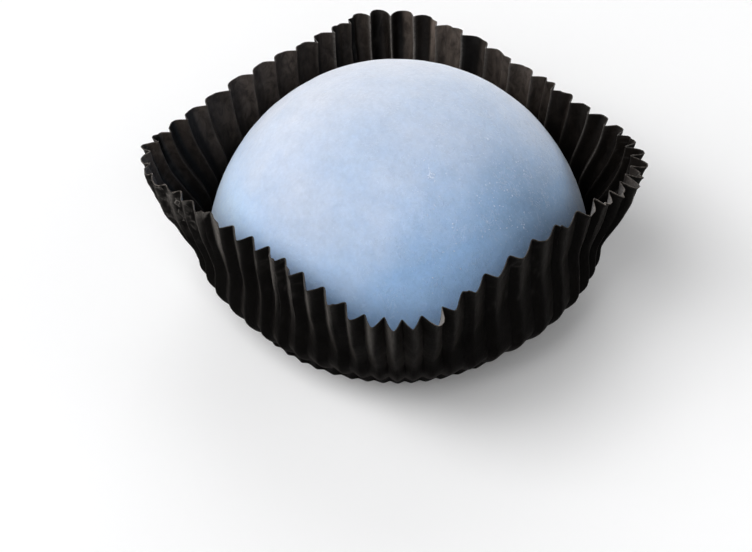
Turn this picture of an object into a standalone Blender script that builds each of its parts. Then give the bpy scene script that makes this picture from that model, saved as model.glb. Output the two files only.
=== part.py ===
"""A mochi in its fluted paper case.

A soft floured rice-cake dome sits in a black paper case. The case has a flat
round floor and a pleated wall that opens into a rounded-square rim. The lower
wall follows the dome's rounded foot, the upper wall stands free, most of all at
the four corners.

Metres, +Z up. The origin is at the middle of the underside, and the sides of
the rim run along X and Y.
"""

import math

import bmesh
import bpy

MM = 0.001

# ---- paper case, mm ----
FLOOR_RADIUS = 25.0  # flat round floor
FLOOR_SHIFT = (0.5, 0.5)  # the floor's centre from the rim's centre
RIM_HALF = 30.6  # centre to the middle of the pleats, square to a side
RIM_CORNER = 10.6  # corner radius of the rim
RIM_HEIGHT = 25.4  # mean height of the rim
RIM_WAVE = 0.72  # the rim is this much higher mid-side, and lower at a corner
RIM_JITTER = 0.22  # unevenness of the cut edge from pleat to pleat
PAPER = 0.4  # wall and floor thickness
PLEATS = 56
PLEAT_DEPTH = 1.75  # inward fold to outward lobe, at the rim
PLEAT_FOOT = 0.07  # share of that depth at the floor's edge
PLEAT_SHARPNESS = 0.9  # 1 is a plain scallop, less is a flatter lobe
# Distance from fold to fold along the rim, at even stations counter-clockwise
# from the +X -Y corner. The pleats bunch up at the corners.
PLEAT_PITCH = (
    2.61, 4.47, 4.82, 4.64, 2.18, 2.80, 3.64, 4.84, 5.05,
    3.47, 3.67, 4.55, 4.81, 2.75, 2.59, 4.60, 3.03, 4.28,
)  # fmt: skip
FIRST_FOLD = 1.0  # distance of the first fold from that corner, along the rim
FOLD_EVENNESS = 0.5  # share by which the folds' spacing evens out at the floor
# Where the free wall is pushed in (-) or bulges out (+): place along the rim
# from the same corner, reach to either side, amount.
WALL_BULGES = ((178.6, 4.5, -1.5), (126.0, 8.0, -0.6), (96.0, 9.0, 0.9))

# ---- mochi, mm ----
DOME_RADIUS = 31.1
DOME_CENTRE_Z = 5.6
DOME_SHIFT = (0.9, 0.9)  # the dome's axis from the rim's centre
DOME_WAIST = 31.3  # the foot never gets wider than this
FOOT_RADIUS = 20.5  # flat underside
FOOT_HEIGHT = 9.6  # height over which the foot rounds in
FOOT_POWER = 1.5
UNDERSIDE_Z = PAPER + 0.3
SIDE_SQUEEZE = 0.035  # the four sides of the case press the foot in by this share
DOME_UNEVEN = 0.16  # hand-made unevenness
PAPER_CLEARANCE = 1.1  # mochi to the middle of the pleats, where they touch
WALL_BLEND = 1.2  # how gently the wall leaves the mochi

# ---- facets ----
STEPS_PER_PLEAT = (0.0, 0.2, 0.5, 0.8)
WALL_LEVELS = (0.0, 0.075, 0.19, 0.32, 0.46, 0.7, 1.0)
DOME_COLUMNS = 56
DOME_RINGS = 20


def smooth_step(value, low, high):
    x = min(max((value - low) / (high - low), 0.0), 1.0)
    return x * x * (3.0 - 2.0 * x)


def smooth_max(a, b, width):
    return 0.5 * (a + b + math.hypot(a - b, width))


def interpolate(x, xs, ys):
    """Piecewise linear value at x; xs rise."""
    low, high = 0, len(xs) - 1
    while high - low > 1:
        middle = (low + high) // 2
        if xs[middle] <= x:
            low = middle
        else:
            high = middle
    share = (x - xs[low]) / (xs[high] - xs[low])
    return ys[low] + (ys[high] - ys[low]) * share


# ---------------------------------------------------------------- the mochi


def dome_radius(theta, z):
    """Distance of the mochi's surface from its own axis."""
    above = max(DOME_RADIUS**2 - (z - DOME_CENTRE_Z) ** 2, 0.0)
    dome = math.sqrt(above)
    depth = min(max((FOOT_HEIGHT - z) / (FOOT_HEIGHT - UNDERSIDE_Z), 0.0), 1.0)
    foot = FOOT_RADIUS + (DOME_WAIST - FOOT_RADIUS) * (
        1.0 - depth**FOOT_POWER
    ) ** (1.0 / FOOT_POWER)
    radius = -smooth_max(-dome, -foot, 0.5) if z < 24.0 else dome
    squeeze = SIDE_SQUEEZE * (1.0 - smooth_step(z, 10.0, 24.0))
    radius *= 1.0 - squeeze * (0.5 + 0.5 * math.cos(4.0 * theta))
    share = radius / DOME_RADIUS
    uneven = (
        0.6 * math.cos(2.0 * theta + 0.7 + 0.03 * z)
        + 0.4 * math.cos(3.0 * theta - 1.1 - 0.05 * z)
        + 0.25 * math.cos(5.0 * theta + 2.3 + 0.08 * z)
    )
    return radius + DOME_UNEVEN * uneven * share * smooth_step(z, 0.0, 12.0)


# ----------------------------------------------------------- the paper case


def rim_radius(theta):
    """Polar radius of the rounded square through the middle of the pleats."""
    c, s = abs(math.cos(theta)), abs(math.sin(theta))
    flat = RIM_HALF - RIM_CORNER
    if RIM_HALF * s <= flat * c:
        return RIM_HALF / c
    if RIM_HALF * c <= flat * s:
        return RIM_HALF / s
    along = flat * (c + s)
    return along + math.sqrt(along**2 - 2.0 * flat**2 + RIM_CORNER**2)


def rim_table(steps=3600):
    """Angles round the rim from the +X -Y corner, and the length up to each."""
    angles = [-math.pi / 4 + 2.0 * math.pi * i / steps for i in range(steps + 1)]
    lengths = [0.0]
    for a, b in zip(angles, angles[1:]):
        ra, rb = rim_radius(a), rim_radius(b)
        dx = rb * math.cos(b) - ra * math.cos(a)
        dy = rb * math.sin(b) - ra * math.sin(a)
        lengths.append(lengths[-1] + math.hypot(dx, dy))
    return angles, lengths


RIM_ANGLES, RIM_LENGTHS = rim_table()
RIM_LENGTH = RIM_LENGTHS[-1]


def pitch_at(length):
    station = (length % RIM_LENGTH) / RIM_LENGTH * len(PLEAT_PITCH)
    i = int(station) % len(PLEAT_PITCH)
    after = PLEAT_PITCH[(i + 1) % len(PLEAT_PITCH)]
    return PLEAT_PITCH[i] + (after - PLEAT_PITCH[i]) * (station - int(station))


def pleat_table(steps=3600):
    """Lengths from the first fold on, and the pleats counted up to each."""
    lengths = [FIRST_FOLD + RIM_LENGTH * i / steps for i in range(steps + 1)]
    counts = [0.0]
    for a, b in zip(lengths, lengths[1:]):
        counts.append(counts[-1] + (b - a) / pitch_at(0.5 * (a + b)))
    scale = PLEATS / counts[-1]
    return lengths, [count * scale for count in counts]


PLEAT_LENGTHS, PLEAT_COUNTS = pleat_table()


def rim_place(pleat):
    """Length along the rim from the +X -Y corner."""
    return interpolate(pleat % PLEATS, PLEAT_COUNTS, PLEAT_LENGTHS)


def rim_angle(pleat):
    """Direction from the centre to a place on the rim, counted in pleats."""
    turns = math.floor(pleat / PLEATS)
    length = rim_place(pleat)
    laps = math.floor(length / RIM_LENGTH)
    angle = interpolate(length - laps * RIM_LENGTH, RIM_LENGTHS, RIM_ANGLES)
    return angle + 2.0 * math.pi * (laps + turns)


# The folds are more evenly spaced at the floor, and lean to their places at the rim.
LEAN = sum(rim_angle(i) - 2.0 * math.pi * i / PLEATS for i in range(PLEATS)) / PLEATS


def jitter(pleat, seed):
    """A fixed uneven value from -1 to 1, smooth from one pleat to the next."""

    def at(i):
        value = math.sin((i % PLEATS) * 12.9898 + seed * 78.233) * 43758.5453
        return 2.0 * (value - math.floor(value)) - 1.0

    i = math.floor(pleat)
    share = smooth_step(pleat - i, 0.0, 1.0)
    return at(i) + (at(i + 1) - at(i)) * share


def wall_middle(pleat, level):
    """The surface halfway through the pleats. level is 0 at the floor, 1 at the rim."""
    angle = rim_angle(pleat)
    even = LEAN + 2.0 * math.pi * pleat / PLEATS
    angle += (even - angle) * FOLD_EVENNESS * (1.0 - level)
    height = RIM_HEIGHT + RIM_WAVE * math.cos(4.0 * angle)
    height += RIM_JITTER * jitter(pleat, 1)
    z = height * level
    # The free wall flares out from the floor to the rim.
    flare = math.sin(0.5 * math.pi * level**1.2)
    free = FLOOR_RADIUS + (rim_radius(angle) - FLOOR_RADIUS) * flare
    # Where the mochi presses on it, the wall follows the mochi.
    centre = [shift * (1.0 - level) for shift in FLOOR_SHIFT]
    toward = (DOME_SHIFT[0] - centre[0]) * math.cos(angle)
    toward += (DOME_SHIFT[1] - centre[1]) * math.sin(angle)
    pressed = dome_radius(angle, max(z, UNDERSIDE_Z)) + toward + PAPER_CLEARANCE
    pressed -= (1.0 - smooth_step(z, 0.0, 3.0)) * 2.0
    for place, reach, amount in WALL_BULGES:
        apart = (rim_place(pleat) - place) % RIM_LENGTH
        apart = min(apart, RIM_LENGTH - apart) / reach
        free += amount * math.exp(-(apart**2)) * level**1.5
    radius = smooth_max(free, pressed, WALL_BLEND * smooth_step(level, 0.0, 0.3))
    return (
        centre[0] + radius * math.cos(angle),
        centre[1] + radius * math.sin(angle),
        z,
    )


def wall_point(pleat, level, outward):
    """A point of the pleated wall, outward mm from the middle of the paper."""
    x, y, z = wall_middle(pleat, level)
    ax, ay, _ = wall_middle(pleat - 0.25, level)
    bx, by, _ = wall_middle(pleat + 0.25, level)
    gap = math.hypot(bx - ax, by - ay)
    normal = ((by - ay) / gap, (ax - bx) / gap)
    crowding = (RIM_LENGTH / PLEATS / pitch_at(rim_place(pleat))) ** 0.5
    depth = PLEAT_DEPTH * crowding * (1.0 + 0.12 * jitter(pleat, 2))
    depth *= PLEAT_FOOT + (1.0 - PLEAT_FOOT) * level**0.8
    lobe = 2.0 * abs(math.sin(math.pi * pleat)) ** PLEAT_SHARPNESS - 1.0
    offset = 0.5 * depth * lobe + outward
    return (x + normal[0] * offset, y + normal[1] * offset, z)


# ------------------------------------------------------------ mesh building


def material(name, colour, roughness, sheen=0.0):
    made = bpy.data.materials.new(name)
    made.use_nodes = True
    shader = made.node_tree.nodes["Principled BSDF"]
    shader.inputs["Base Color"].default_value = (*colour, 1.0)
    shader.inputs["Roughness"].default_value = roughness
    shader.inputs["Metallic"].default_value = 0.0
    shader.inputs["Sheen Weight"].default_value = sheen
    made.diffuse_color = (*colour, 1.0)
    return made


def add_ring(bm, points):
    return [bm.verts.new([c * MM for c in point]) for point in points]


def bridge(bm, lower, upper):
    """Faces between two rings of one count. They face away from the axis when
    the upper ring is above the lower one."""
    count = len(lower)
    for i in range(count):
        j = (i + 1) % count
        bm.faces.new((lower[i], lower[j], upper[j], upper[i]))


def cap(bm, ring, centre, upward):
    middle = bm.verts.new([c * MM for c in centre])
    for i, vertex in enumerate(ring):
        following = ring[(i + 1) % len(ring)]
        pair = (vertex, following) if upward else (following, vertex)
        bm.faces.new((*pair, middle))


def finish(bm, name, made, sharp_angle, shift):
    bmesh.ops.translate(bm, verts=bm.verts, vec=shift)
    mesh = bpy.data.meshes.new(name)
    bm.to_mesh(mesh)
    bm.free()
    mesh.materials.append(made)
    mesh.shade_smooth()
    mesh.set_sharp_from_angle(angle=math.radians(sharp_angle))
    made_object = bpy.data.objects.new(name, mesh)
    bpy.context.scene.collection.objects.link(made_object)
    return made_object


def case_mesh():
    bm = bmesh.new()
    columns = [i + step for i in range(PLEATS) for step in STEPS_PER_PLEAT]
    outer = [
        add_ring(bm, [wall_point(c, level, PAPER / 2) for c in columns])
        for level in WALL_LEVELS
    ]
    inner = []
    for level in WALL_LEVELS:
        ring = []
        for c in columns:
            top = wall_middle(c, 1.0)[2]
            ring.append(wall_point(c, max(level, PAPER / top), -PAPER / 2))
        inner.append(add_ring(bm, ring))
    for low, high in zip(outer, outer[1:]):
        bridge(bm, low, high)
    for low, high in zip(inner, inner[1:]):
        bridge(bm, high, low)
    bridge(bm, outer[-1], inner[-1])
    cap(bm, outer[0], (*FLOOR_SHIFT, 0.0), upward=False)
    cap(bm, inner[0], (*FLOOR_SHIFT, PAPER), upward=True)
    return bm


def mochi_mesh():
    bm = bmesh.new()
    top = DOME_CENTRE_Z + DOME_RADIUS
    rings = []
    for i in range(DOME_RINGS):
        # Even steps of slope, so that the rings crowd where the foot turns in.
        share = i / DOME_RINGS
        z = UNDERSIDE_Z + (top - UNDERSIDE_Z) * math.sin(0.5 * math.pi * share) ** 1.35
        points = []
        for j in range(DOME_COLUMNS):
            theta = 2.0 * math.pi * j / DOME_COLUMNS
            radius = dome_radius(theta, z)
            points.append(
                (
                    DOME_SHIFT[0] + radius * math.cos(theta),
                    DOME_SHIFT[1] + radius * math.sin(theta),
                    z,
                )
            )
        rings.append(add_ring(bm, points))
    for low, high in zip(rings, rings[1:]):
        bridge(bm, low, high)
    cap(bm, rings[0], (*DOME_SHIFT, UNDERSIDE_Z), upward=False)
    cap(bm, rings[-1], (*DOME_SHIFT, top), upward=True)
    return bm


def clear_scene():
    for old in list(bpy.data.objects):
        bpy.data.objects.remove(old, do_unlink=True)


def main():
    clear_scene()
    case = case_mesh()
    # The uneven pleats move the outline a little, so it is centred on the origin.
    xs = [v.co.x for v in case.verts]
    ys = [v.co.y for v in case.verts]
    shift = (-(min(xs) + max(xs)) / 2, -(min(ys) + max(ys)) / 2, 0.0)
    flour_blue = material("floured_rice_skin", (0.42, 0.53, 0.72), 0.85, sheen=0.2)
    black_paper = material("black_paper", (0.012, 0.011, 0.011), 0.5)
    whole = bpy.data.objects.new("mochi_in_case", None)
    bpy.context.scene.collection.objects.link(whole)
    for piece in (
        finish(case, "paper_case", black_paper, 35.0, shift),
        finish(mochi_mesh(), "mochi", flour_blue, 50.0, shift),
    ):
        piece.parent = whole


main()
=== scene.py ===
"""The looks of a mochi in its fluted paper case.

The shapes follow the same sizes and rules as the solid model: a rounded-square
rim, a round floor, pleats that bunch up at the corners, and a soft dome. Here
the paper is thin, its folds are crisp and uneven, and the rice skin is floured.
"""

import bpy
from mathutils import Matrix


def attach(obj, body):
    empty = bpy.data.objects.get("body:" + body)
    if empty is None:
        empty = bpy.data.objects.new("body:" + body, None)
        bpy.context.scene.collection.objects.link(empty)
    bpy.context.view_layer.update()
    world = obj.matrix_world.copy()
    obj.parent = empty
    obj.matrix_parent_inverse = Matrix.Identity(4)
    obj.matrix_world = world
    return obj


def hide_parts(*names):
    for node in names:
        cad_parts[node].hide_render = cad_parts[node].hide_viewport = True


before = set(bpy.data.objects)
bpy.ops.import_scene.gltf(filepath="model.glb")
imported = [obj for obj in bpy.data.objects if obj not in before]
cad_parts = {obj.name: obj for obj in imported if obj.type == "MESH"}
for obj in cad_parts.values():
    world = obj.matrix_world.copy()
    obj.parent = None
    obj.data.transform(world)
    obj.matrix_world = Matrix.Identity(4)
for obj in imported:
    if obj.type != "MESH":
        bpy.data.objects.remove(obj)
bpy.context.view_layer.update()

import math
import random

import bmesh
import bpy
import numpy as np
from mathutils import Matrix, Vector, noise

MM = 0.001

# ------------------------------------------------------------------- sizes, mm
FLOOR_RADIUS = 25.0
FLOOR_SHIFT = (0.5, 0.5)
RIM_HALF = 30.6
RIM_CORNER = 10.6
RIM_HEIGHT = 25.4
RIM_WAVE = 0.72
RIM_JITTER = 0.22
PLEATS = 56
PLEAT_DEPTH = 1.75
PLEAT_FOOT = 0.26
PLEAT_PITCH = (
    2.61, 4.47, 4.82, 4.64, 2.18, 2.80, 3.64, 4.84, 5.05,
    3.47, 3.67, 4.55, 4.81, 2.75, 2.59, 4.60, 3.03, 4.28,
)  # fmt: skip
FIRST_FOLD = 1.0
FOLD_EVENNESS = 0.5
WALL_BULGES = ((178.6, 4.5, -1.5), (126.0, 8.0, -0.6), (96.0, 9.0, 0.9))
DOME_RADIUS = 31.1
DOME_CENTRE_Z = 5.6
DOME_SHIFT = (0.9, 0.9)
DOME_WAIST = 31.3
FOOT_RADIUS = 20.5
FOOT_HEIGHT = 9.6
FOOT_POWER = 1.5
UNDERSIDE_Z = 0.7
SIDE_SQUEEZE = 0.035
DOME_UNEVEN = 0.16
PAPER_CLEARANCE = 1.1
WALL_BLEND = 1.2
CENTRING = (-0.231, -0.273)  # the rim's outline is centred on the origin

PAPER = 0.13  # thickness of the paper

# ------------------------------------------------------------------ the camera
# Where the photograph was taken from, in metres and degrees.
AZIMUTH, ELEVATION, ROLL = 43.71, 41.19, 0.68
CAMERA_AT = Vector((0.3008, -0.3184, 0.3836))
LENS = 171.1


def make_camera():
    a, e, r = (math.radians(x) for x in (AZIMUTH, ELEVATION, ROLL))
    back = Vector((math.sin(a) * math.cos(e), -math.cos(a) * math.cos(e), math.sin(e)))
    right = Vector((math.cos(a), math.sin(a), 0.0))
    up = back.cross(right)
    x = math.cos(r) * right + math.sin(r) * up
    y = -math.sin(r) * right + math.cos(r) * up
    data = bpy.data.cameras.new("camera")
    data.sensor_fit = "HORIZONTAL"
    data.sensor_width = 36.0
    data.lens = LENS
    data.clip_start, data.clip_end = 0.01, 20.0
    camera = bpy.data.objects.new("camera", data)
    bpy.context.scene.collection.objects.link(camera)
    turn = Matrix((x, y, back)).transposed().to_4x4()
    camera.matrix_world = Matrix.Translation(CAMERA_AT) @ turn
    bpy.context.scene.camera = camera


# Share of flour on the skin, and how it grows along X, Y and Z over the dome. The drift is partly real flour and
# partly painted light and shade: whiter on the lit -X side and on top, bluer on the shaded +X -Y side.
FLOUR_MEAN = 0.085
FLOUR_AND_SHADE_DRIFT = (-0.59, 0.335, 0.484)
# Rounder patches of it: the way out from the dome's centre, in degrees round from +X
# and up, how sharply the patch falls off, and how much flour it adds.
FLOUR_PATCHES = (
    (294.5, 39.5, 3.6, 0.46),
    (276.0, 73.0, 20.0, -0.155),
    (322.0, 38.0, 40.0, -0.10),
    (308.0, 27.0, 28.0, 0.11),
    (8.0, 40.0, 30.0, -0.13),
)
# Patches of painted shade and painted light, darker or lighter than the rest, given the same way: the dark one
# on the +X side is painted shade where the light falls off, the two lighter ones low on the -X -Y side are
# painted light against the paper's shadow, and two faint darker ones lie higher on the -X and -Y sides.
PAINTED_SHADE_AND_LIGHT_PATCHES = (
    (11.0, 37.0, 24.0, -0.43),
    (227.0, 14.0, 11.0, 0.25),
    (250.0, 24.0, 40.0, 0.10),
    (200.0, 55.0, 9.0, -0.05),
    (272.0, 50.0, 22.0, -0.06),
)

# ----------------------------------------------------------------- small maths


def smooth_step(value, low, high):
    x = np.clip((np.asarray(value, float) - low) / (high - low), 0.0, 1.0)
    return x * x * (3.0 - 2.0 * x)


def smooth_max(a, b, width):
    return 0.5 * (a + b + np.hypot(a - b, width))


def hashed(i, seed):
    """A fixed uneven value from -1 to 1 for each whole number."""
    value = np.sin((np.asarray(i, float) % PLEATS) * 12.9898 + seed * 78.233) * 43758.5453
    return 2.0 * (value - np.floor(value)) - 1.0


def jitter(pleat, seed):
    """hashed, made smooth from one pleat to the next."""
    i = np.floor(pleat)
    share = smooth_step(pleat - i, 0.0, 1.0)
    return hashed(i, seed) + (hashed(i + 1, seed) - hashed(i, seed)) * share


def noise_at(points, scale, seed=0.0):
    """Smooth noise from -1 to 1 at points in mm, with lumps about scale mm across."""
    shift = Vector((seed * 17.3, seed * 5.1, seed * 11.7))
    flat = np.asarray(points, float).reshape(-1, 3) / scale
    found = [noise.noise(Vector(p) + shift) for p in flat]
    return np.array(found).reshape(np.shape(points)[:-1])


# ------------------------------------------------------------ shape of the dome


def dome_radius(theta, z):
    z = np.asarray(z, float)
    dome = np.sqrt(np.maximum(DOME_RADIUS**2 - (z - DOME_CENTRE_Z) ** 2, 0.0))
    depth = np.clip((FOOT_HEIGHT - z) / (FOOT_HEIGHT - UNDERSIDE_Z), 0.0, 1.0)
    foot = FOOT_RADIUS + (DOME_WAIST - FOOT_RADIUS) * (1.0 - depth**FOOT_POWER) ** (
        1.0 / FOOT_POWER
    )
    radius = np.where(z < 24.0, -smooth_max(-dome, -foot, 0.5), dome)
    squeeze = SIDE_SQUEEZE * (1.0 - smooth_step(z, 10.0, 24.0))
    radius = radius * (1.0 - squeeze * (0.5 + 0.5 * np.cos(4.0 * theta)))
    uneven = (
        0.6 * np.cos(2.0 * theta + 0.7 + 0.03 * z)
        + 0.4 * np.cos(3.0 * theta - 1.1 - 0.05 * z)
        + 0.25 * np.cos(5.0 * theta + 2.3 + 0.08 * z)
    )
    share = radius / DOME_RADIUS
    return radius + DOME_UNEVEN * uneven * share * smooth_step(z, 0.0, 12.0)


# ------------------------------------------------------------ shape of the case


def rim_radius(theta):
    c, s = np.abs(np.cos(theta)), np.abs(np.sin(theta))
    flat = RIM_HALF - RIM_CORNER
    along = flat * (c + s)
    inside = np.maximum(along**2 - 2.0 * flat**2 + RIM_CORNER**2, 0.0)
    corner = along + np.sqrt(inside)
    side = RIM_HALF / np.maximum(c, s)
    return np.where(RIM_HALF * np.minimum(c, s) <= flat * np.maximum(c, s), side, corner)


RIM_ANGLES = -math.pi / 4 + np.linspace(0.0, 2.0 * math.pi, 3601)
_r = rim_radius(RIM_ANGLES)
_x, _y = _r * np.cos(RIM_ANGLES), _r * np.sin(RIM_ANGLES)
RIM_LENGTHS = np.concatenate([[0.0], np.cumsum(np.hypot(np.diff(_x), np.diff(_y)))])
RIM_LENGTH = RIM_LENGTHS[-1]


def pitch_at(length):
    count = len(PLEAT_PITCH)
    station = (length % RIM_LENGTH) / RIM_LENGTH * count
    return np.interp(station, range(count + 1), (*PLEAT_PITCH, PLEAT_PITCH[0]))


PLEAT_LENGTHS = FIRST_FOLD + np.linspace(0.0, RIM_LENGTH, 3601)
_mid = 0.5 * (PLEAT_LENGTHS[1:] + PLEAT_LENGTHS[:-1])
_counts = np.concatenate([[0.0], np.cumsum(np.diff(PLEAT_LENGTHS) / pitch_at(_mid))])
PLEAT_COUNTS = _counts * PLEATS / _counts[-1]


def rim_place(pleat):
    return np.interp(np.asarray(pleat, float) % PLEATS, PLEAT_COUNTS, PLEAT_LENGTHS)


def rim_angle(pleat):
    pleat = np.asarray(pleat, float)
    length = rim_place(pleat)
    laps = np.floor(length / RIM_LENGTH)
    angle = np.interp(length - laps * RIM_LENGTH, RIM_LENGTHS, RIM_ANGLES)
    return angle + 2.0 * math.pi * (laps + np.floor(pleat / PLEATS))


LEAN = float(
    np.mean(rim_angle(np.arange(PLEATS)) - 2.0 * math.pi * np.arange(PLEATS) / PLEATS)
)


def wall_middle(pleat, level):
    """The surface halfway through the pleats. level is 0 at the floor, 1 at the rim."""
    angle = rim_angle(pleat)
    even = LEAN + 2.0 * math.pi * pleat / PLEATS
    angle = angle + (even - angle) * FOLD_EVENNESS * (1.0 - level)
    height = RIM_HEIGHT + RIM_WAVE * np.cos(4.0 * angle)
    height = height + RIM_JITTER * jitter(pleat, 1)
    z = height * level
    flare = np.sin(0.5 * math.pi * np.maximum(level, 0.0) ** 1.2)
    free = FLOOR_RADIUS + (rim_radius(angle) - FLOOR_RADIUS) * flare
    cx, cy = (shift * (1.0 - level) for shift in FLOOR_SHIFT)
    toward = (DOME_SHIFT[0] - cx) * np.cos(angle) + (DOME_SHIFT[1] - cy) * np.sin(angle)
    pressed = dome_radius(angle, np.maximum(z, UNDERSIDE_Z)) + toward + PAPER_CLEARANCE
    pressed = pressed - (1.0 - smooth_step(z, 0.0, 3.0)) * 2.0
    for place, reach, amount in WALL_BULGES:
        apart = (rim_place(pleat) - place) % RIM_LENGTH
        apart = np.minimum(apart, RIM_LENGTH - apart) / reach
        free = free + amount * np.exp(-(apart**2)) * np.maximum(level, 0.0) ** 1.5
    radius = smooth_max(free, pressed, WALL_BLEND * smooth_step(level, 0.0, 0.3))
    return np.stack([cx + radius * np.cos(angle), cy + radius * np.sin(angle), z], -1)


# Where across one pleat the paper has its columns: closest at the two folds (0 and 1)
# and at the ridge between them (0.5).
ACROSS = (
    0.0, 0.02, 0.05, 0.11, 0.20, 0.30, 0.40, 0.46,
    0.50, 0.54, 0.60, 0.70, 0.80, 0.89, 0.95, 0.98,
)  # fmt: skip
WALL_LEVELS = (
    (0.0, 0.005, 0.015, 0.03, 0.05)
    + tuple(0.08 + 0.80 * i / 26 for i in range(27))
    + tuple(0.88 + 0.12 * i / 11 for i in range(1, 12))
)
LEFT_CORNER = 170.0  # place along the rim of the crumpled corner
CRUMPLED = 175.5  # the middle of the crumpled stretch beside it
BACK_CORNER = 113.3
RIGHT_CORNER = 53.0
# Where the rim curls outwards: place, reach and amount in mm.
CURLS = (
    (RIGHT_CORNER, 13.0, 0.62), (LEFT_CORNER, 13.0, 0.5), (43.5, 11.0, 0.80), (24.0, 15.0, 0.42),
)  # fmt: skip
NICK = 6.6  # place along the rim of a small torn nick
# Which way the pleats lie over, by place along the rim: where the outward ridge is,
# as a share of the way across; and how flat their backs are.
LIE = (
    (0.0, 6.0, 14.0, 42.0, 52.0, 60.0, 165.0, 178.0, 190.0, 216.0, 226.6),
    (0.50, 0.36, 0.24, 0.25, 0.45, 0.50, 0.50, 0.56, 0.65, 0.64, 0.50),
)
BACKS = (
    (0.0, 45.0, 60.0, 100.0, 113.0, 125.0, 160.0, 175.0, 226.6),
    (1.0, 1.0, 1.55, 1.65, 1.15, 1.25, 1.3, 1.0, 1.0),
)
# Inside, pleats painted paler or darker than the rest, as painted light and shade for how each catches the
# light, and how much of the painted shade lies on the side of the pleat that faces away from the left.
PANELS = {
    13: (0.35, 0.5), 14: (0.45, 0.65), 15: (1.2, 0.9), 16: (0.45, 0.2), 17: (0.4, 0.2),
    18: (0.45, 0.2), 19: (0.65, 0.45), 20: (1.6, 0.3), 21: (2.1, 0.15), 22: (1.9, 0.15),
    23: (0.8, 1.0), 24: (2.6, 0.1), 25: (2.9, 1.05), 26: (1.9, 1.12), 27: (0.5, 0.85),
    28: (0.8, 1.1), 29: (0.6, 0.8), 30: (0.9, 0.9), 31: (0.7, 0.2), 32: (1.1, 0.4),
    33: (1.0, 0.35), 34: (1.15, 0.6), 35: (0.85, 0.2), 36: (0.95, 1.0), 37: (0.62, 1.14),
    38: (0.7, 1.15), 39: (0.8, 1.1), 40: (0.7, 1.1),
}  # fmt: skip
# Folds whose inner edge carries a painted highlight, by pleat; the others carry only a faint one.
FOLD_HIGHLIGHTS = {
    17: 0.4, 18: 0.35, 20: 0.3, 21: 0.3, 22: 0.35, 23: 0.35, 24: 0.6, 25: 0.4,
    26: 0.95, 27: 1.0, 28: 0.7, 30: 0.5,
}  # fmt: skip


def around(pleat, place, reach):
    """1 at a place along the rim, falling to 0 at reach mm to either side."""
    apart = (rim_place(pleat) - place) % RIM_LENGTH
    apart = np.minimum(apart, RIM_LENGTH - apart) / reach
    return 1.0 - smooth_step(apart, 0.0, 1.0)


def column_pleats():
    """The place of every column, in pleats, and how far across its pleat it is."""
    number = np.repeat(np.arange(PLEATS), len(ACROSS)).astype(float)
    across = np.tile(np.array(ACROSS), PLEATS)
    ridge = np.interp(rim_place(number + 0.5), *LIE) + 0.05 * hashed(number, 3)
    shifted = np.where(
        across < 0.5, 2.0 * ridge * across, ridge + (2.0 * across - 1.0) * (1.0 - ridge)
    )
    return number, across, number + shifted


def pleat_height(number, across, level):
    """0 at the inward folds, 1 on the outward ridge, no two pleats alike."""
    apart = np.abs(2.0 * across - 1.0)
    soft = 0.05 + 0.05 * (1.0 + hashed(number, 13))
    crisp = 1.0 - (np.hypot(apart, soft) - soft) / (np.hypot(1.0, soft) - soft)
    rounded = np.maximum(np.sin(math.pi * across), 0.0) ** 0.8
    share = 0.10 + 0.75 * around(number + 0.5, BACK_CORNER + 14.0, 62.0)
    share = share + 0.12 * hashed(number, 4)
    height = crisp + (rounded - crisp) * np.clip(share, 0.0, 0.9)
    # Pleats at the back are flat between two ridges.
    flat = np.interp(rim_place(number + 0.5), *BACKS)
    flat = 1.0 + (flat - 1.0) * (1.0 + 0.6 * hashed(number, 14))
    height = -smooth_max(-height * flat, -1.0, 0.04 + 0.14 * np.clip(share, 0.0, 1.0))
    # Some have a second, shallow crease that starts part of the way up.
    second = 0.60 * np.maximum(hashed(number, 5) - 0.1, 0.0)
    second = second * (1.0 - 0.9 * around(number + 0.5, BACK_CORNER + 28.0, 40.0))
    at = 0.5 + 0.17 * hashed(number, 6)
    crease = np.maximum(1.0 - np.abs(across - at) / 0.17, 0.0)
    begins = 0.15 + 0.4 * np.abs(hashed(number, 7))
    height = height - second * crease * smooth_step(level, begins, begins + 0.4)
    # The inward folds are rounded off, most at the front.
    nose = 0.14 - 0.09 * around(number + 0.5, BACK_CORNER, 70.0)
    nose = nose + 0.16 * around(number + 0.5, 196.0, 30.0)
    height = np.maximum(height, 0.0)
    return (np.hypot(height, nose) - nose) / (np.hypot(1.0, nose) - nose)


def crease_lines(u, v, seed, count, span):
    """Facets like those of crumpled paper: a sum of ridges along random lines in
    the (u, v) plane, in mm. Returns the height and how near a crease is."""
    rng = random.Random(seed)
    height = np.zeros(np.shape(u))
    near = np.zeros(np.shape(u))
    for _ in range(count):
        turn = rng.uniform(0.0, math.pi)
        offset = rng.uniform(-span, span)
        size = rng.uniform(0.5, 1.0) * rng.choice((-1.0, 1.0))
        width = rng.uniform(1.2, 3.4)
        d = (u * math.cos(turn) + v * math.sin(turn) - offset) / width
        height += size * np.maximum(1.0 - np.abs(d), 0.0)
        near = np.maximum(near, np.exp(-((d * width / 0.10) ** 2)))
    return height, near


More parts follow.
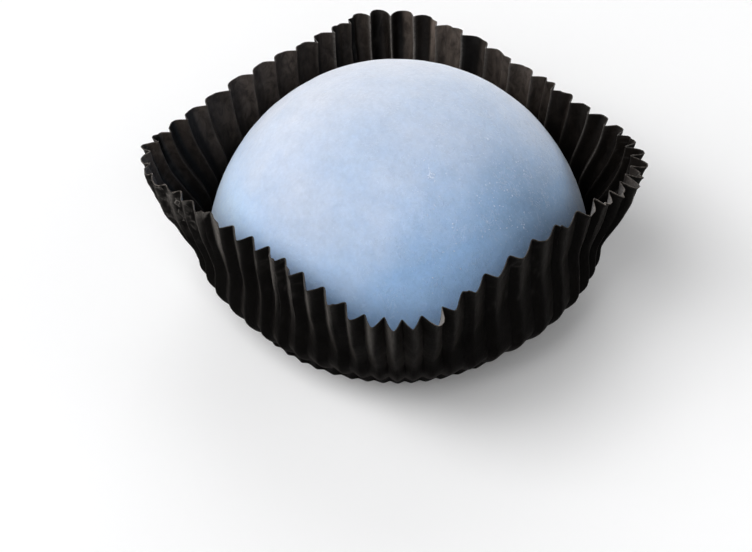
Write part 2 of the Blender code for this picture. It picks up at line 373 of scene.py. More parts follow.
def paper_sheet():
    """The middle surface of the case's wall on a grid [level, column], in mm, with the wear and painted
    highlights on its outer and its inner face at each point, and the painted light and shade of the inner face."""
    number, across, pleats = column_pleats()
    levels = np.array(WALL_LEVELS)
    pleat, level = np.meshgrid(pleats, levels)
    number = np.broadcast_to(number, pleat.shape)
    across = np.broadcast_to(across, pleat.shape)
    middle = wall_middle(pleat, level)
    step = wall_middle(pleat + 0.25, level) - wall_middle(pleat - 0.25, level)
    run = np.hypot(step[..., 0], step[..., 1])
    out = np.stack([step[..., 1] / run, -step[..., 0] / run, np.zeros_like(run)], -1)

    crowding = (RIM_LENGTH / PLEATS / pitch_at(rim_place(pleat))) ** 0.5
    depth = PLEAT_DEPTH * crowding * (PLEAT_FOOT + (1.0 - PLEAT_FOOT) * level**0.8)
    # Pressed flat where the left corner is crumpled.
    pressed = around(pleat, CRUMPLED + 1.0, 16.0) * smooth_step(level, 0.3, 0.9)
    depth = depth * (1.0 - 0.82 * pressed)
    depth = depth * (1.0 - 0.25 * around(pleat, 27.0, 24.0) * smooth_step(level, 0.4, 1.0))
    height = pleat_height(number, across, level)
    folds = 1.0 + 0.20 * (
        hashed(number, 20) * (1.0 - across) + hashed(number + 1.0, 20) * across
    )
    ridge = 1.0 + 0.16 * hashed(number, 21)
    offset = 0.5 * depth * (ridge * height - folds * (1.0 - height))

    # Every panel is slightly buckled.
    free = smooth_step(level, 0.1, 0.5)
    offset += 0.13 * free * noise_at(middle, 3.6, 1.0)
    offset += 0.055 * free * noise_at(middle, 1.5, 2.0)

    # The lobes' edges curl out, most at two corners and at one small nick.
    curl = 0.10 + 0.30 * np.maximum(hashed(number, 8), 0.0) ** 1.5
    for place, reach, amount in CURLS:
        curl = np.maximum(curl, amount * around(pleat, place, reach))
    rise = np.clip((level - 0.92) / 0.08, 0.0, 1.0) ** 2
    curl = curl * rise * smooth_step(height, 0.0, 0.6)
    nick = around(pleat, NICK, 2.0) * rise
    offset += curl + 1.0 * nick

    # The crumpled corner.
    along = (rim_place(pleat) - LEFT_CORNER + RIM_LENGTH / 2) % RIM_LENGTH - RIM_LENGTH / 2
    share = around(pleat, LEFT_CORNER, 13.0) * smooth_step(level, 0.3, 0.7)
    ridges, near = crease_lines(along, (1.0 - level) * 25.0 - 5.0, 11, 16, 7.0)
    offset += 0.26 * share * ridges
    worn = 0.12 * share * near
    battered = around(pleat, LEFT_CORNER, 12.0) * smooth_step(level, 0.84, 1.0)
    offset += 0.42 * battered * noise_at(middle, 1.3, 8.0)
    # A few softer creases elsewhere.
    for place, seed in ((24.0, 5), (61.0, 6), (88.0, 7), (118.0, 8), (143.0, 9), (205.0, 10)):
        run_along = (rim_place(pleat) - place + RIM_LENGTH / 2) % RIM_LENGTH - RIM_LENGTH / 2
        part = around(pleat, place, 10.0) * smooth_step(level, 0.4, 0.75)
        ridges, near = crease_lines(run_along, (1.0 - level) * 25.0 - 5.0, seed, 6, 6.0)
        offset += 0.13 * part * ridges
        worn = np.maximum(worn, 0.10 * part * near)

    grid = middle + out * offset[..., None]
    # Paper has one length from floor to rim, so lobes that lean out end lower.
    grid[..., 2] -= 0.20 * level**2 * (2.0 * height - 1.0) + 0.35 * curl
    grid[..., 2] += 0.10 * smooth_step(level, 0.8, 1.0) * noise_at(middle, 1.1, 5.0)
    grid[..., 2] += 0.45 * battered * noise_at(middle, 1.6, 9.0)

    # Painted highlights. Outside, strips beside the ridges are painted light, less towards the floor; inside,
    # the folds are painted light along their edges.
    from_fold = np.minimum(across, 1.0 - across)
    fold = np.where(across < 0.5, number, (number + 1.0) % PLEATS)
    shine = np.array([FOLD_HIGHLIGHTS.get(i, 0.0) for i in range(PLEATS)])
    strength = np.maximum(0.06 + 0.05 * hashed(fold, 12), shine[fold.astype(int)])
    inside = strength * np.exp(-((from_fold / 0.034) ** 2)) * smooth_step(level, 0.05, 0.5)
    # Inside, the lobes near the right corner and a stretch of rim at the front get painted highlights where they
    # catch the light.
    corner = around(pleat, RIGHT_CORNER - 9.5, 13.0) * smooth_step(level, 0.86, 0.95)
    front = 0.6 * around(pleat, 24.0, 16.0) * smooth_step(level, 0.95, 0.985)
    corner = np.maximum(0.85 * corner, front)
    inside = np.maximum(inside, corner * smooth_step(height, 0.05, 0.35))
    # The inside of the torn nick gets a painted highlight.
    inside = np.maximum(inside, 1.2 * smooth_step(nick, 0.02, 0.25))
    # Outside, the flanks that face away from the near corner, towards the light from the left, are painted light
    # in strips that narrow down to a point.
    left = smooth_step(rim_place(pleat), 172.0, 186.0)
    left = left * (1.0 - 0.4 * smooth_step(rim_place(pleat), 214.0, 226.0))
    right = 1.0 - smooth_step(rim_place(pleat), 30.0, 50.0)
    where = 0.24 * left + 0.62 * right * (1.0 - left) + 0.5 * (1.0 - left) * (1.0 - right)
    width = (0.02 + 0.15 * smooth_step(level, 0.35, 1.0)) * (1.0 + 0.3 * left)
    outside = np.exp(-(((across - where) / width) ** 2)) * smooth_step(level, 0.42, 0.95)
    outside = outside * (0.10 + 0.50 * left) * (1.0 + 0.35 * hashed(number, 15))

    # Two facets of the crumpled stretch catch the light.
    for pleat_number, start in ((44, 0.90), (45, 0.87)):
        facet = smooth_step(level - start - 0.20 * np.abs(across - 0.35), 0.0, 0.012)
        facet = facet * (0.14 + 0.22 * smooth_step(level, 0.93, 0.995))
        outside = np.where(number == pleat_number, np.maximum(outside, facet), outside)

    # How pale the inner face is, as painted light and shade: painted shade low down and on the flanks that face
    # right, away from the light, and painted light on the pleats that catch it.
    place = rim_place(pleat)
    back = smooth_step(place, 40.0, 62.0) * (1.0 - smooth_step(place, 166.0, 177.0))
    plain = (
        1.0 + 0.25 * hashed(number, 22),
        0.6 - 0.2 * smooth_step(place, 128.0, 138.0) + 0.7 * smooth_step(place, 142.0, 154.0),
    )
    panel = np.array([PANELS.get(i, (0.0, 0.0)) for i in range(PLEATS)])[number.astype(int)]
    named = panel[..., 0] > 0.0
    amount = np.where(named, panel[..., 0], plain[0])
    contrast = np.where(named, panel[..., 1], plain[1])
    shady = 0.14 * smooth_step(place, 144.0, 154.0)
    facing = smooth_step(across + shady, 0.36, 0.56)
    pale = amount * (1.0 + 0.3 * contrast - (1.15 * contrast) * facing)
    left_wall = smooth_step(place, 122.0, 140.0)
    low = 0.16 + 0.34 * left_wall * (1.0 - smooth_step(place, 144.0, 158.0))
    fade = low + (1.0 - low) * smooth_step(level, 0.45, 0.97)
    pale = 1.0 + back * (np.maximum(pale, 0.03) - 1.0)
    pale = pale * (1.0 + back * (fade - 1.0)) * (1.0 + 0.45 * left_wall * back)
    crumple = around(pleat, CRUMPLED - 2.0, 15.0) * smooth_step(level, 0.55, 0.95)
    return {
        "grid": grid,
        "outside": np.maximum(worn, outside),
        "inside": np.maximum(worn, inside),
        "pale": pale,
        "crumple": crumple,
    }


def normals_of(grid):
    du = np.roll(grid, -1, axis=1) - np.roll(grid, 1, axis=1)
    dv = np.gradient(grid, axis=0)
    n = np.cross(du, dv)
    return n / np.maximum(np.linalg.norm(n, axis=-1, keepdims=True), 1e-9)


def case_grids():
    """Outer and inner surfaces on one grid, from the floor's middle to the rim, with their wear and painted
    highlights, and the painted light and shade of the inner face."""
    number, across, columns = column_pleats()
    sheet = paper_sheet()
    wall = sheet["grid"]
    n = normals_of(wall)
    soft = n.copy()
    for _ in range(2):
        soft = 0.5 * soft + 0.25 * (np.roll(soft, 1, axis=1) + np.roll(soft, -1, axis=1))
    soft /= np.linalg.norm(soft, axis=-1, keepdims=True)
    reach = 1.0 / np.maximum((soft * n).sum(-1, keepdims=True), 0.75)
    outer = wall + soft * reach * PAPER / 2
    inner = wall - soft * reach * PAPER / 2
    outer[0, :, 2] = 0.0
    inner[0, :, 2] = PAPER
    outer[1:, :, 2] = np.maximum(outer[1:, :, 2], 0.002)
    inner[1:, :, 2] = np.maximum(inner[1:, :, 2], PAPER + 0.002)

    # The floor: the ends of the flutes run a little way in as shallow ribs.
    centre = np.array([*FLOOR_SHIFT, 0.0])
    height = pleat_height(number, across, np.full(len(columns), 0.0))
    shares = (0.15, 0.5, 0.8, 0.86, 0.9, 0.93, 0.95, 0.965, 0.98, 0.992)
    floor_out, floor_in = [], []
    smooth_ring = wall_middle(columns, np.zeros_like(columns))
    for share in shares:
        blend = float(smooth_step(share, 0.82, 1.0))
        for ring, base, made in ((outer[0], 0.0, floor_out), (inner[0], PAPER, floor_in)):
            edge = smooth_ring * (1.0 - blend) + ring * blend
            points = centre + (edge - centre) * share
            rib = 0.16 * (1.0 - height) * smooth_step(share, 0.84, 0.95)
            rib = rib * (1.0 - smooth_step(share, 0.975, 1.0))
            points[:, 2] = base + rib
            made.append(points)
    zeros = np.zeros((len(shares), len(columns)))
    return {
        "outer": np.concatenate([floor_out, outer]),
        "inner": np.concatenate([floor_in, inner]),
        "outside_wear_and_painted_light": np.concatenate([zeros, sheet["outside"]]),
        "inside_wear_and_painted_light": np.concatenate([zeros, sheet["inside"]]),
        # The inner floor is painted darker: painted shade at the bottom of the cup.
        "pale": np.concatenate([zeros + 0.3, sheet["pale"]]),
        "crumple": np.concatenate([zeros, sheet["crumple"]]),
        "columns": columns,
    }


# ------------------------------------------------------------ making the meshes


def object_from(name, points, faces, made, smooth=True):
    mesh = bpy.data.meshes.new(name)
    mesh.from_pydata((np.asarray(points) * MM).tolist(), [], faces)
    mesh.materials.append(made)
    mesh.validate()
    if smooth:
        mesh.shade_smooth()
    thing = bpy.data.objects.new(name, mesh)
    bpy.context.scene.collection.objects.link(thing)
    return thing


def grid_faces(rows, columns, start=0, flip=False):
    faces = []
    for i in range(rows - 1):
        a, b = start + i * columns, start + (i + 1) * columns
        for j in range(columns):
            k = (j + 1) % columns
            face = (a + j, a + k, b + k, b + j)
            faces.append(face[::-1] if flip else face)
    return faces


def point_values(thing, name, values):
    layer = thing.data.attributes.new(name, "FLOAT", "POINT")
    layer.data.foreach_set("value", np.asarray(values, np.float32))


def make_case(made):
    made_of = case_grids()
    outer, inner, columns = (made_of[key] for key in ("outer", "inner", "columns"))
    rows, count = outer.shape[:2]
    shift = np.array([*CENTRING, 0.0])
    points = np.concatenate([outer.reshape(-1, 3), inner.reshape(-1, 3)]) + shift
    size = rows * count
    faces = grid_faces(rows, count)
    faces += grid_faces(rows, count, size, flip=True)
    top_out, top_in = (rows - 1) * count, size + (rows - 1) * count
    for j in range(count):
        k = (j + 1) % count
        faces.append((top_out + j, top_out + k, top_in + k, top_in + j))
    centre_out, centre_in = len(points), len(points) + 1
    middle = np.array([[*FLOOR_SHIFT, 0.0], [*FLOOR_SHIFT, PAPER]]) + shift
    points = np.concatenate([points, middle])
    for j in range(count):
        k = (j + 1) % count
        faces.append((k, j, centre_out))
        faces.append((size + j, size + k, centre_in))
    case = object_from("pleated_case", points, faces, made)
    ends = [0.0, 0.0]
    worn = [made_of["outside_wear_and_painted_light"].ravel(), made_of["inside_wear_and_painted_light"].ravel(), ends]
    point_values(case, "worn", np.concatenate(worn))
    pale = made_of["pale"].ravel()
    # The inner face carries the painted light and shade, its centre painted darker; the outer face carries none.
    point_values(case, "pale", np.concatenate([np.ones(size), pale, [1.0, 0.3]]))
    crumple = made_of["crumple"].ravel()
    point_values(case, "crumple", np.concatenate([crumple, 0.4 * crumple, ends]))
    # The cut edge shows more where the rim is battered.
    edge = np.zeros((rows, count))
    bare = 0.5 * around(columns, LEFT_CORNER + 3.0, 16.0)
    bare = bare + 0.20 * around(columns, RIGHT_CORNER - 3.0, 14.0)
    edge[-1] = np.clip(0.10 + 0.10 * jitter(columns, 16) + bare, 0.0, 1.0)
    point_values(case, "edge", np.concatenate([edge.ravel(), edge.ravel(), ends]))
    inside = np.concatenate([np.zeros(size), np.ones(size), [0.0, 1.0]])
    point_values(case, "inside", inside)
    case.data.set_sharp_from_angle(angle=math.radians(50.0))
    return case


def skin_point(theta, z, lift=0.0):
    """A point of the mochi's skin."""
    r = dome_radius(theta, z) + lift
    return np.stack(
        [DOME_SHIFT[0] + r * np.cos(theta), DOME_SHIFT[1] + r * np.sin(theta), z + 0.0 * r],
        -1,
    )


def uneven_skin(points):
    """Points of the skin with its shallow lumps, and the way out at each."""
    axis = np.array([DOME_SHIFT[0], DOME_SHIFT[1], DOME_CENTRE_Z])
    away = points - axis
    away /= np.linalg.norm(away, axis=-1, keepdims=True)
    above = smooth_step(points[..., 2], 8.0, 16.0)
    relief = 0.10 * noise_at(points, 9.0, 3.0) + 0.040 * noise_at(points, 3.0, 4.0)
    relief += 0.020 * noise_at(points, 1.4, 6.0)
    return points + away * (relief * above)[..., None], away


DOME_COLUMNS = 400
DOME_RINGS = 236


def make_mochi(made):
    top = DOME_CENTRE_Z + DOME_RADIUS
    share = np.arange(DOME_RINGS) / DOME_RINGS
    z = UNDERSIDE_Z + (top - UNDERSIDE_Z) * np.sin(0.5 * math.pi * share) ** 1.35
    theta = 2.0 * math.pi * np.arange(DOME_COLUMNS) / DOME_COLUMNS
    zz, tt = np.meshgrid(z, theta, indexing="ij")
    grid = uneven_skin(skin_point(tt, zz))[0]
    shift = np.array([*CENTRING, 0.0])
    lows = np.array([[DOME_SHIFT[0], DOME_SHIFT[1], UNDERSIDE_Z]])
    highs = np.array([[DOME_SHIFT[0], DOME_SHIFT[1], top]])
    points = np.concatenate([grid.reshape(-1, 3), lows, highs]) + shift
    faces = grid_faces(DOME_RINGS, DOME_COLUMNS)
    low, high = DOME_RINGS * DOME_COLUMNS, DOME_RINGS * DOME_COLUMNS + 1
    last = (DOME_RINGS - 1) * DOME_COLUMNS
    for j in range(DOME_COLUMNS):
        k = (j + 1) % DOME_COLUMNS
        faces.append((k, j, low))
        faces.append((last + j, last + k, high))
    mochi = object_from("floured_mochi", points, faces, made)
    mochi.data.set_sharp_from_angle(angle=math.radians(60.0))
    return mochi


def make_crumbs(made):
    """Grains and small clumps of flour stuck in the skin, half sunk in it."""
    rng = random.Random(7)
    template = bmesh.new()
    bmesh.ops.create_icosphere(template, subdivisions=1, radius=1.0)
    corners = np.array([v.co[:] for v in template.verts])
    triangles = [[v.index for v in f.verts] for f in template.faces]
    template.free()
    points, faces = [], []

    def grain(theta, z, size, thin=0.45, long=1.5):
        p, n = uneven_skin(skin_point(np.array(theta), np.array(z)))
        side = np.cross(n, (0.0, 0.0, 1.0) if abs(n[2]) < 0.9 else (1.0, 0.0, 0.0))
        side /= np.linalg.norm(side)
        other = np.cross(n, side)
        turn = rng.uniform(0.0, math.pi)
        u = math.cos(turn) * side + math.sin(turn) * other
        v = np.cross(n, u)
        a, b, c = size * rng.uniform(0.8, long), size * rng.uniform(0.6, 1.0), size * thin
        start = len(points)
        for corner in corners:
            rough = 1.0 + rng.uniform(-0.22, 0.22)
            points.append(
                p + rough * (u * corner[0] * a + v * corner[1] * b + n * corner[2] * c)
            )
        faces.extend([[start + i for i in face] for face in triangles])

    top = DOME_CENTRE_Z + DOME_RADIUS
    # Most grains lie on the +X half, where the flour is thickest.
    for _ in range(260):
        theta = rng.gauss(0.05, 1.35)
        z = 11.0 + (top - 12.0) * rng.random() ** 0.8
        grain(theta, z, 0.045 + 0.085 * rng.random() ** 3)
    # Scuffed-up flakes of flour on the +X side and the top.
    for _ in range(190):
        theta = rng.gauss(0.05, 0.50)
        z = 36.5 - 12.0 * rng.random()
        grain(theta, z, 0.05 + 0.09 * rng.random() ** 2, 0.30, 2.2)
    for theta, z, count in (
        (-0.47, 33.0, 20), (0.58, 32.5, 5), (0.54, 32.0, 4), (0.40, 30.0, 5), (0.40, 28.6, 4),
        (0.08, 33.0, 5), (-0.12, 29.8, 6), (-0.02, 28.3, 6), (0.41, 25.4, 4), (-0.66, 31.8, 7),
        (-0.52, 30.5, 6), (-0.40, 27.8, 4), (0.32, 36.2, 4), (0.36, 35.7, 4), (0.76, 35.1, 4),
        (-1.60, 36.5, 5), (0.10, 24.5, 4), (2.40, 27.0, 6), (3.60, 30.0, 4), (1.50, 30.0, 6),
    ):  # fmt: skip
        coarse = 1.05 if count > 10 else 0.72
        for _ in range(count):
            grain(
                theta + rng.gauss(0.0, 0.018),
                min(z + rng.gauss(0.0, 0.25), top - 0.1),
                coarse * (0.07 + 0.11 * rng.random()),
                0.5,
                1.8,
            )
    shift = np.array([*CENTRING, 0.0])
    return object_from("flour_grains", np.array(points) + shift, faces, made, smooth=True)


# --------------------------------------------------------------- the materials


class Nodes:
    """Short ways to add shader nodes to one material."""

    def __init__(self, name):
        self.material = bpy.data.materials.new(name)
        self.material.use_nodes = True
        self.tree = self.material.node_tree
        self.shader = self.tree.nodes["Principled BSDF"]

    def add(self, kind, inputs=None, **settings):
        node = self.tree.nodes.new(kind)
        for key, value in settings.items():
            setattr(node, key, value)
        for key, value in (inputs or {}).items():
            self.put(node.inputs[key], value)
        return node

    def put(self, socket, value):
        if isinstance(value, bpy.types.NodeSocket):
            self.tree.links.new(value, socket)
        elif hasattr(socket.default_value, "__len__") and hasattr(value, "__len__"):
            socket.default_value = (*value, 1.0) if len(value) == 3 and len(socket.default_value) == 4 else value
        else:
            socket.default_value = value

    def maths(self, how, a, b=0.0, c=0.0):
        return self.add("ShaderNodeMath", {0: a, 1: b, 2: c}, operation=how).outputs[0]

    def ramp(self, value, low, high, to_low=0.0, to_high=1.0, smooth=True):
        return self.add(
            "ShaderNodeMapRange",
            {"Value": value, "From Min": low, "From Max": high, "To Min": to_low, "To Max": to_high},
            interpolation_type="SMOOTHSTEP" if smooth else "LINEAR",
        ).outputs["Result"]

    def mix(self, share, a, b, how="MIX"):
        node = self.add("ShaderNodeMix", data_type="RGBA", blend_type=how)
        self.put(node.inputs[0], share)
        self.put(node.inputs[6], a)
        self.put(node.inputs[7], b)
        return node.outputs[2]

    def place(self, scale=(1.0, 1.0, 1.0), location=(0.0, 0.0, 0.0)):
        where = self.add("ShaderNodeTexCoord").outputs["Object"]
        return self.add(
            "ShaderNodeMapping", {"Vector": where, "Scale": scale, "Location": location}
        ).outputs["Vector"]

    def cloud(self, where, scale, detail=3.0, rough=0.5, distortion=0.0):
        return self.add(
            "ShaderNodeTexNoise",
            {
                "Vector": where,
                "Scale": scale,
                "Detail": detail,
                "Roughness": rough,
                "Distortion": distortion,
            },
        ).outputs["Fac"]

    def set(self, **values):
        for key, value in values.items():
            self.put(self.shader.inputs[key.replace("_", " ")], value)


def rice_skin():
    m = Nodes("floured_rice_skin")
    where = m.place()
    mm = 1000.0  # texture scales are in lumps for each metre

    # Flour lies thick on the -X side and on top, thin down the +X -Y side, in soft clouds; this drift is partly
    # real flour and partly painted light and shade, whiter where the light falls and bluer where the shade
    # falls. The dome's centre is the middle of that drift.
    centre = (DOME_SHIFT[0] * MM, DOME_SHIFT[1] * MM, DOME_CENTRE_Z * MM)
    from_centre = m.add(
        "ShaderNodeVectorMath", {0: where, 1: centre}, operation="SUBTRACT"
    ).outputs["Vector"]
    reach = DOME_RADIUS * MM
    drift = m.add(
        "ShaderNodeVectorMath",
        {0: from_centre, 1: tuple(x / reach for x in FLOUR_AND_SHADE_DRIFT)},
        operation="DOT_PRODUCT",
    ).outputs["Value"]
    broad = m.cloud(where, 0.055 * mm, 2.0, 0.5)
    middling = m.cloud(where, 0.16 * mm, 4.0, 0.55, 0.4)
    fine = m.cloud(where, 0.9 * mm, 3.0, 0.6)

    def patches(value, rows):
        for azimuth, rise, sharp, amount in rows:
            a, e = math.radians(azimuth), math.radians(rise)
            way = (math.cos(a) * math.cos(e), math.sin(a) * math.cos(e), math.sin(e))
            near = m.add(
                "ShaderNodeVectorMath",
                {0: from_centre, 1: tuple(x * sharp / reach for x in way)},
                operation="DOT_PRODUCT",
            ).outputs["Value"]
            near = m.maths("EXPONENT", m.maths("SUBTRACT", near, sharp))
            value = m.maths("MULTIPLY_ADD", near, amount, value)
        return value

    thick = patches(m.maths("ADD", drift, FLOUR_MEAN), FLOUR_PATCHES)
    # The paper has rubbed some of it off all round the foot of what shows.
    up = m.add("ShaderNodeSeparateXYZ", {"Vector": from_centre}).outputs["Z"]
    foot = m.ramp(up, 0.50 * reach, 0.68 * reach, 1.0, 0.0)
    thick = m.maths("MULTIPLY_ADD", foot, -0.20, thick)
    thick = m.maths("MULTIPLY_ADD", m.maths("SUBTRACT", broad, 0.5), 0.40, thick)
    thick = m.maths("MULTIPLY_ADD", m.maths("SUBTRACT", middling, 0.5), 0.35, thick)
    thick = m.maths("MULTIPLY_ADD", m.maths("SUBTRACT", fine, 0.5), 0.15, thick)
    thick = m.maths("SMOOTH_MIN", thick, 0.92, 0.25)
    thick = m.ramp(thick, 0.0, 1.0, 0.03, 0.93, smooth=False)

    dough = m.mix(m.cloud(where, 0.09 * mm, 2.0), (0.27, 0.45, 0.72), (0.32, 0.49, 0.74))
    flour = m.mix(m.cloud(where, 0.07 * mm, 1.0), (0.68, 0.71, 0.77), (0.71, 0.71, 0.77))
    colour = m.mix(thick, dough, flour)

    # Flour rubbed thin and thick, in greys, at several sizes.
    shade = m.maths("MULTIPLY_ADD", m.cloud(where, 0.30 * mm, 2.0), 0.15, 0.785)
    shade = m.maths("MULTIPLY_ADD", m.cloud(where, 0.85 * mm, 2.0, 0.6), 0.17, shade)
    shade = m.maths("MULTIPLY_ADD", m.cloud(where, 2.1 * mm, 2.0, 0.6), 0.16, shade)
    # Patches of painted shade and painted light.
    shade = patches(shade, PAINTED_SHADE_AND_LIGHT_PATCHES)
    # The foot of what shows, next to the paper, is painted lighter: painted light against the paper's shade.
    shade = m.maths("MULTIPLY_ADD", foot, 0.08, shade)
    colour = m.mix(1.0, colour, shade, "MULTIPLY")

    # The +X side and the top are scuffed: short streaks of flour brushed up and down,
    # thin wisps, and pin-point grains too small to stand out as lumps.
    side = m.add(
        "ShaderNodeVectorMath", {0: from_centre, 1: (0.85 / reach, 0.25 / reach, 0.45 / reach)},
        operation="DOT_PRODUCT",
    ).outputs["Value"]
    patchy = m.maths("MULTIPLY_ADD", m.cloud(where, 0.12 * mm, 3.0), 1.6, side)
    scuffed = m.ramp(patchy, 0.75, 1.55, 0.18, 1.0)
    brushed = m.place(scale=(1.0, 1.0, 0.22))
    streak = m.ramp(m.cloud(brushed, 2.3 * mm, 3.0, 0.65, 0.3), 0.60, 0.74)
    wisp = m.cloud(m.place(scale=(1.0, 1.0, 0.45)), 0.62 * mm, 3.0, 0.6, 0.9)
    wisp = m.maths("ABSOLUTE", m.maths("SUBTRACT", wisp, 0.52))
    wisp = m.ramp(wisp, 0.0, 0.026, 1.0, 0.0)
    wisp = m.maths("MULTIPLY", wisp, m.ramp(m.cloud(where, 0.33 * mm, 2.0), 0.47, 0.62))
    grains = m.add(
        "ShaderNodeTexVoronoi",
        {"Vector": m.place(scale=(1.0, 1.0, 0.8)), "Scale": 1.35 * mm, "Randomness": 1.0},
    )
    spot = m.ramp(grains.outputs["Distance"], 0.05, 0.19, 1.0, 0.0)
    some = m.add("ShaderNodeSeparateColor", {"Color": grains.outputs["Color"]})
    some = m.ramp(some.outputs[0], 0.72, 0.86)
    spot = m.maths("MULTIPLY", spot, some)
    white = m.maths("MAXIMUM", m.maths("MULTIPLY", streak, 0.50), m.maths("MULTIPLY", wisp, 0.42))
    white = m.maths("MAXIMUM", white, m.maths("MULTIPLY", spot, 0.65))
    white = m.maths("MULTIPLY", white, scuffed)
    lighter = m.mix(1.0, colour, (1.30, 1.30, 1.24), "MULTIPLY")
    colour = m.mix(white, colour, m.mix(0.35, lighter, (0.72, 0.80, 0.95)))

    powder = m.cloud(where, 4.5 * mm, 3.0, 0.7)
    lumps = m.cloud(where, 1.1 * mm, 4.0, 0.6)
    relief = m.maths("MULTIPLY_ADD", lumps, 1.0, m.maths("MULTIPLY", powder, 0.45))
    relief = m.maths("MULTIPLY_ADD", white, 1.2, relief)
    bump = m.add(
        "ShaderNodeBump", {"Height": relief, "Strength": 0.8, "Distance": 0.00016}
    ).outputs["Normal"]
    m.set(
        Base_Color=colour,
        Roughness=m.ramp(powder, 0.3, 0.7, 0.78, 0.95),
        Normal=bump,
        Specular_IOR_Level=0.25,
        Sheen_Weight=0.6,
        Sheen_Roughness=0.35,
        Sheen_Tint=(0.95, 0.96, 1.0),
        Subsurface_Weight=0.45,
        Subsurface_Radius=(1.0, 0.95, 0.95),
        Subsurface_Scale=0.0035,
    )
    return m.material


def flour_lumps():
    m = Nodes("flour")
    where = m.place()
    tone = m.cloud(where, 3000.0, 2.0)
    m.set(
        Base_Color=m.mix(tone, (0.56, 0.65, 0.82), (0.68, 0.76, 0.90)),
        Roughness=m.ramp(tone, 0.3, 0.7, 0.85, 0.95),
        Specular_IOR_Level=0.2,
    )
    return m.material


def black_paper():
    m = Nodes("black_paper")
    where = m.place()
    mm = 1000.0
    worn = m.add("ShaderNodeAttribute", attribute_name="worn").outputs["Fac"]
    edge = m.add("ShaderNodeAttribute", attribute_name="edge").outputs["Fac"]
    inside = m.add("ShaderNodeAttribute", attribute_name="inside").outputs["Fac"]
    pale = m.add("ShaderNodeAttribute", attribute_name="pale").outputs["Fac"]
    crumple = m.add("ShaderNodeAttribute", attribute_name="crumple").outputs["Fac"]
    fibres = m.cloud(m.place(scale=(1.0, 1.0, 0.22)), 3.2 * mm, 4.0, 0.65)
    mottle = m.cloud(where, 0.35 * mm, 3.0, 0.55)
    speck = m.cloud(where, 2.4 * mm, 2.0, 0.7)

    # Both faces are the same paper: the outside is painted blacker than the paper is, as painted shade, and the
    # inside is browner and duller, its brown the paper's own and part of its lightness painted sheen.
    outer = m.mix(mottle, (0.0022, 0.0020, 0.0019), (0.0046, 0.0042, 0.0040))
    inner = m.mix(mottle, (0.0200, 0.0155, 0.0128), (0.0390, 0.0315, 0.0265))
    base = m.mix(inside, outer, inner)
    share = m.maths("MULTIPLY_ADD", inside, 0.20, 0.10)
    share = m.maths("MULTIPLY", m.ramp(fibres, 0.5, 0.8), share)
    base = m.mix(share, base, (0.026, 0.023, 0.021))
    # The inner face is scuffed in streaks that run up it.
    scuffs = m.cloud(m.place(scale=(1.0, 1.0, 0.5)), 0.75 * mm, 4.0, 0.65, 0.8)
    scuffs = m.ramp(scuffs, 0.36, 0.66, 0.55, 1.5, smooth=False)
    pale = m.maths("MULTIPLY", pale, m.ramp(inside, 0.0, 1.0, 1.0, scuffs, smooth=False))
    # The pale attribute puts painted light and shade on the inner face.
    base = m.mix(1.0, base, pale, "MULTIPLY")
    # Fine white cracks where the paper was crushed.
    cracks = m.add(
        "ShaderNodeTexVoronoi",
        {"Vector": where, "Scale": 0.55 * mm, "Randomness": 1.0},
        feature="DISTANCE_TO_EDGE",
    ).outputs["Distance"]
    cracks = m.ramp(cracks, 0.010, 0.034, 1.0, 0.0)
    crushed = m.cloud(where, 0.8 * mm, 2.0)
    cracks = m.maths("MULTIPLY", cracks, m.ramp(crushed, 0.46, 0.54))
    cracks = m.maths("MAXIMUM", cracks, m.ramp(crushed, 0.45, 0.75, 0.0, 0.35))
    worn = m.maths("MAXIMUM", worn, m.maths("MULTIPLY", cracks, crumple))
    # The paper is lightened by the wear attribute: painted highlights on folds and ridges, and real wear in the
    # crushed cracks.
    speckled_wear_and_painted_light = m.maths("MULTIPLY", worn, m.ramp(speck, 0.30, 0.65, 0.45, 1.0))
    base = m.mix(speckled_wear_and_painted_light, base, (0.230, 0.212, 0.195))
    cut = m.maths("MULTIPLY", edge, m.ramp(speck, 0.40, 0.62, 0.15, 1.0))
    base = m.mix(cut, base, (0.24, 0.21, 0.185))

    crinkle = m.cloud(where, 0.75 * mm, 5.0, 0.6, 0.6)
    height = m.maths("MULTIPLY_ADD", fibres, 0.25, crinkle)
    bump = m.add(
        "ShaderNodeBump", {"Height": height, "Strength": 0.6, "Distance": 0.00012}
    ).outputs["Normal"]
    m.set(
        Base_Color=base,
        Roughness=m.maths("MULTIPLY_ADD", inside, 0.12, m.ramp(fibres, 0.3, 0.7, 0.30, 0.42)),
        Normal=bump,
        Specular_IOR_Level=0.16,
        Specular_Tint=(1.0, 0.93, 0.88),
        Sheen_Weight=0.04,
        Sheen_Roughness=0.35,
        Sheen_Tint=(1.0, 0.88, 0.80),
    )
    return m.material


# ----------------------------------------------------------------- the studio


def pale_floor():
    m = Nodes("studio_floor")
    tone = m.cloud(m.place(), 8.0, 2.0)
    m.set(
        Base_Color=m.mix(tone, (0.95, 0.95, 0.955), (0.965, 0.965, 0.97)),
        Roughness=0.9,
        Specular_IOR_Level=0.1,
    )
    mesh = bpy.data.meshes.new("studio_floor")
    mesh.from_pydata([(-6, -6, 0), (6, -6, 0), (6, 6, 0), (-6, 6, 0)], [], [(0, 1, 2, 3)])
    mesh.materials.append(m.material)
    floor = bpy.data.objects.new("studio_floor", mesh)
    bpy.context.scene.collection.objects.link(floor)
    floor.visible_glossy = False


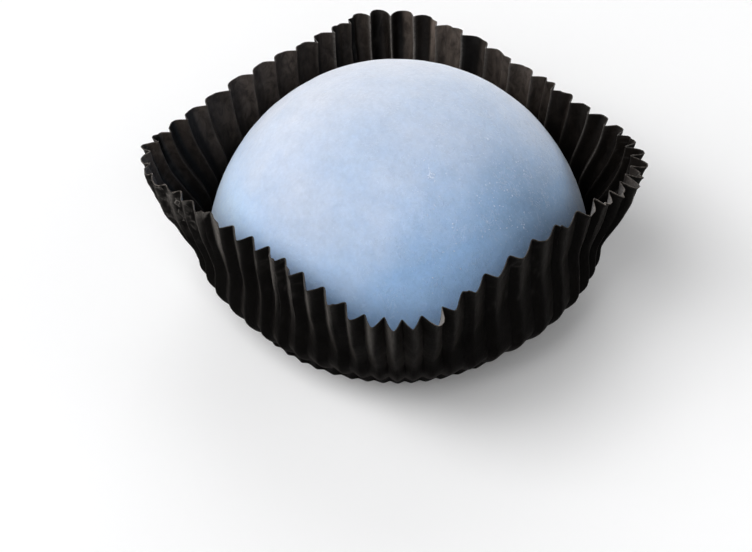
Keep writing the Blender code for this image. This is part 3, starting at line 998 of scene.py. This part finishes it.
def pale_backdrop():
    """A pale wall round the studio, which shows only in views from low down."""
    m = Nodes("studio_wall")
    tone = m.cloud(m.place(), 1.5, 2.0)
    glow = m.mix(tone, (0.93, 0.93, 0.94), (0.97, 0.97, 0.98))
    m.set(Base_Color=(0.0, 0.0, 0.0), Specular_IOR_Level=0.0)
    m.set(Emission_Color=glow, Emission_Strength=1.0)
    turns = [2.0 * math.pi * i / 96 for i in range(96)]
    ring = [(1.15 * math.cos(t), 1.15 * math.sin(t)) for t in turns]
    points = [(x, y, z) for z in (-0.01, 1.6) for x, y in ring]
    mesh = bpy.data.meshes.new("studio_wall")
    mesh.from_pydata(points, [], grid_faces(2, 96, flip=True))
    mesh.materials.append(m.material)
    wall = bpy.data.objects.new("studio_wall", mesh)
    bpy.context.scene.collection.objects.link(wall)
    wall.visible_diffuse = False
    wall.visible_glossy = False
    wall.visible_shadow = False


def softbox(name, at, target, size, watts, colour=(1.0, 1.0, 1.0)):
    data = bpy.data.lights.new(name, "AREA")
    data.shape = "RECTANGLE"
    data.size, data.size_y = size
    data.energy = watts
    data.color = colour
    lamp = bpy.data.objects.new(name, data)
    bpy.context.scene.collection.objects.link(lamp)
    lamp.location = at
    lamp.rotation_euler = (Vector(target) - Vector(at)).to_track_quat("-Z", "Y").to_euler()


def from_view(right, away, up):
    """A point given as seen from the camera's side: right, away and up, in metres."""
    a = math.radians(AZIMUTH)
    across = Vector((math.cos(a), math.sin(a), 0.0))
    along = Vector((-math.sin(a), math.cos(a), 0.0))
    return across * right + along * away + Vector((0.0, 0.0, up))


def light_studio():
    world = bpy.data.worlds.new("studio")
    world.use_nodes = True
    sky = world.node_tree.nodes["Background"]
    sky.inputs["Color"].default_value = (0.97, 0.98, 1.0, 1.0)
    sky.inputs["Strength"].default_value = 0.03
    bpy.context.scene.world = world
    # Soft boxes all round, strongest high on the left and low behind: the direction,
    # in degrees to the left of the camera's side and above the floor, and the watts.
    for name, left, above, watts in (
        ("left_high", 90, 60, 4.9),
        ("left", 90, 36, 10.0),
        ("front_left_high", 45, 60, 6.6),
        ("front_left", 45, 36, 4.8),
        ("front", 0, 36, 6.2),
        ("behind", 180, 36, 4.4),
        ("behind_low", 180, 14, 8.1),
        ("behind_right_low", 225, 14, 3.2),
        ("right", 270, 36, 1.0),
        ("right_low", 270, 14, 3.7),
        ("front_right_low", 315, 14, 1.5),
    ):
        turn, lift = math.radians(left), math.radians(above)
        across, out = -math.sin(turn) * math.cos(lift), -math.cos(turn) * math.cos(lift)
        at = from_view(1.6 * across, 1.6 * out, 1.6 * math.sin(lift))
        size = (1.0, 0.5) if above < 20 else (1.0, 1.0)
        softbox(name, at, (0, 0, 0.02), size, watts)
    bpy.context.scene.view_settings.view_transform = "Standard"
    bpy.context.scene.view_settings.look = "None"


def main():
    make_camera()
    light_studio()
    pale_floor()
    pale_backdrop()
    case = make_case(black_paper())
    mochi = make_mochi(rice_skin())
    crumbs = make_crumbs(flour_lumps())
    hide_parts("paper_case")
    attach(case, "root")
    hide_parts("mochi")
    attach(mochi, "root")
    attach(crumbs, "root")


main()
